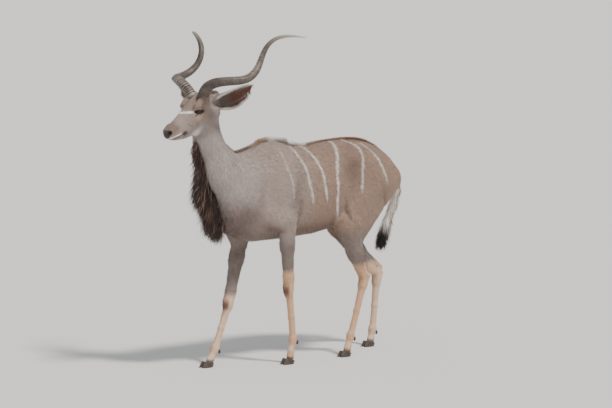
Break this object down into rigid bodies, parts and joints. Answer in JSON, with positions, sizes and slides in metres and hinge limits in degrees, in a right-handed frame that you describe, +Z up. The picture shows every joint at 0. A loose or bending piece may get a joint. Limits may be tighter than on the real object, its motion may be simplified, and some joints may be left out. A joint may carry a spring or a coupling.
{
  "type": "greater kudu bull",
  "caption": "Life-size still model of a greater kudu bull in mid walk, with its head turned a little to its left and long corkscrew horns; a display animal that stands on its own hooves.",
  "frame": {"origin": "middle of the bounding box, on the floor that the hooves stand on", "axes": "-X is the way the animal faces, -Y its left side, +Z up"},
  "size_m": [1.9362, 0.9722, 2.0635],
  "materials": {
    "dark_hair": "coarse dark hair",
    "ear_coat": "short close coat",
    "eyeball": "wet, glossy",
    "face_coat": "short close coat",
    "hoof_horn": "dull dark keratin",
    "horn": "ridged keratin, satin",
    "lower_leg_coat": "short close coat",
    "neck_coat": "short dull coat",
    "pale_hair": "coarse pale hair",
    "trunk_coat": "short dull coat",
    "upper_leg_coat": "short dull coat"
  },
  "bodies": {
    "root": {"head": "face_coat", "left_ear": "ear_coat", "left_eye": "eyeball", "left_fore_inner_dewclaw": "hoof_horn", "left_fore_inner_hoof": "hoof_horn", "left_fore_lower_leg": "lower_leg_coat", "left_fore_outer_dewclaw": "hoof_horn", "left_fore_outer_hoof": "hoof_horn", "left_fore_upper_leg": "upper_leg_coat", "left_hind_inner_dewclaw": "hoof_horn", "left_hind_inner_hoof": "hoof_horn", "left_hind_lower_leg": "lower_leg_coat", "left_hind_outer_dewclaw": "hoof_horn", "left_hind_outer_hoof": "hoof_horn", "left_hind_upper_leg": "upper_leg_coat", "left_horn": "horn", "neck": "neck_coat", "right_ear": "ear_coat", "right_eye": "eyeball", "right_fore_inner_dewclaw": "hoof_horn", "right_fore_inner_hoof": "hoof_horn", "right_fore_lower_leg": "lower_leg_coat", "right_fore_outer_dewclaw": "hoof_horn", "right_fore_outer_hoof": "hoof_horn", "right_fore_upper_leg": "upper_leg_coat", "right_hind_inner_dewclaw": "hoof_horn", "right_hind_inner_hoof": "hoof_horn", "right_hind_lower_leg": "lower_leg_coat", "right_hind_outer_dewclaw": "hoof_horn", "right_hind_outer_hoof": "hoof_horn", "right_hind_upper_leg": "upper_leg_coat", "right_horn": "horn", "spine_crest": "pale_hair", "tail": "trunk_coat", "tail_tuft": "dark_hair", "throat_fringe": "dark_hair", "trunk": "trunk_coat"}
  },
  "joints": []
}
